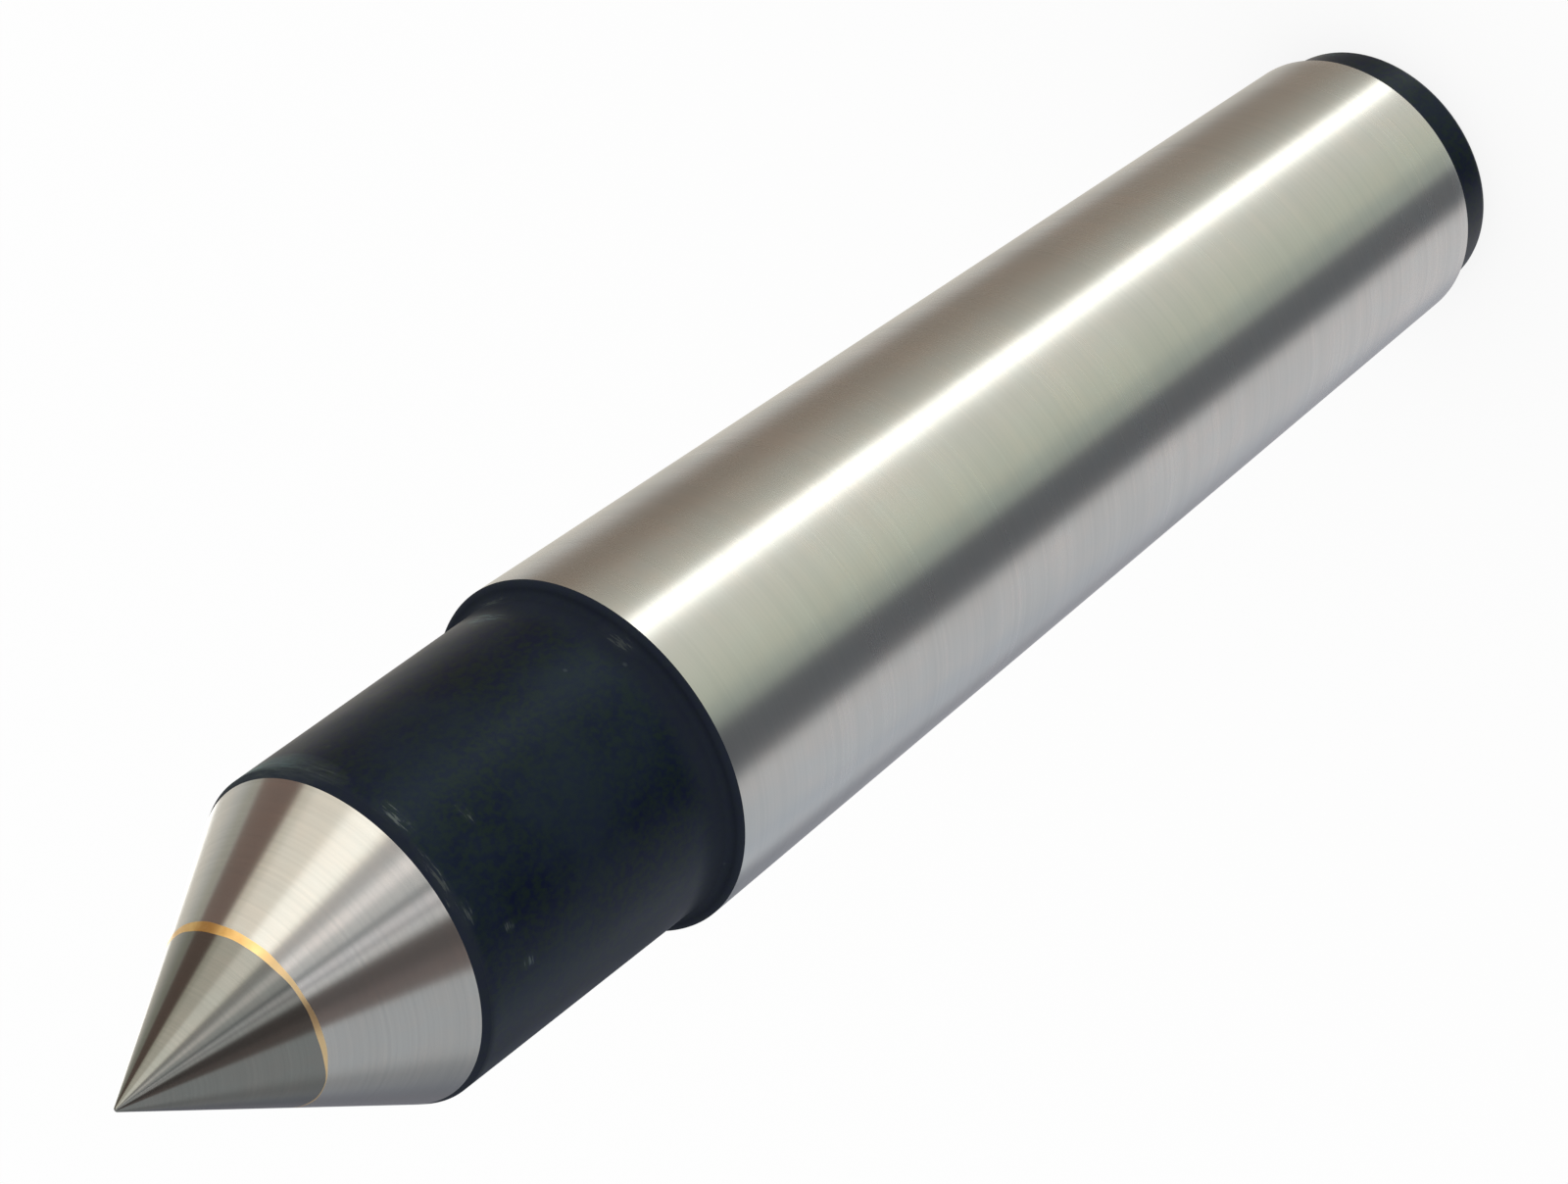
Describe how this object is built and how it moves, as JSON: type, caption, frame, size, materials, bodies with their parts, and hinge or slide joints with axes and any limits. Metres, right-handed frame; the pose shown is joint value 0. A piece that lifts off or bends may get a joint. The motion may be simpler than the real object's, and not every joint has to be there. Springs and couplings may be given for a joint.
{
  "type": "lathe dead center",
  "caption": "Dead center for a lathe tailstock: ground taper shank, black neck and a 60 degree point with a brazed carbide insert.",
  "frame": {"origin": "middle of the flat rear face, on which the part stands", "axes": "+Z along the axis of the shank, from the rear face to the point; the part is round, so X and Y are free"},
  "size_m": [0.024, 0.024, 0.1265],
  "materials": {
    "steel": "ground bright on the taper and the point; matte black oxide on the neck, shoulder and rear end",
    "carbide": "ground carbide, darker than the steel",
    "braze": "golden brazing alloy, ground flush"
  },
  "bodies": {
    "root": {"steel_body": "steel", "carbide_tip": "carbide", "braze_joint": "braze"}
  },
  "joints": []
}
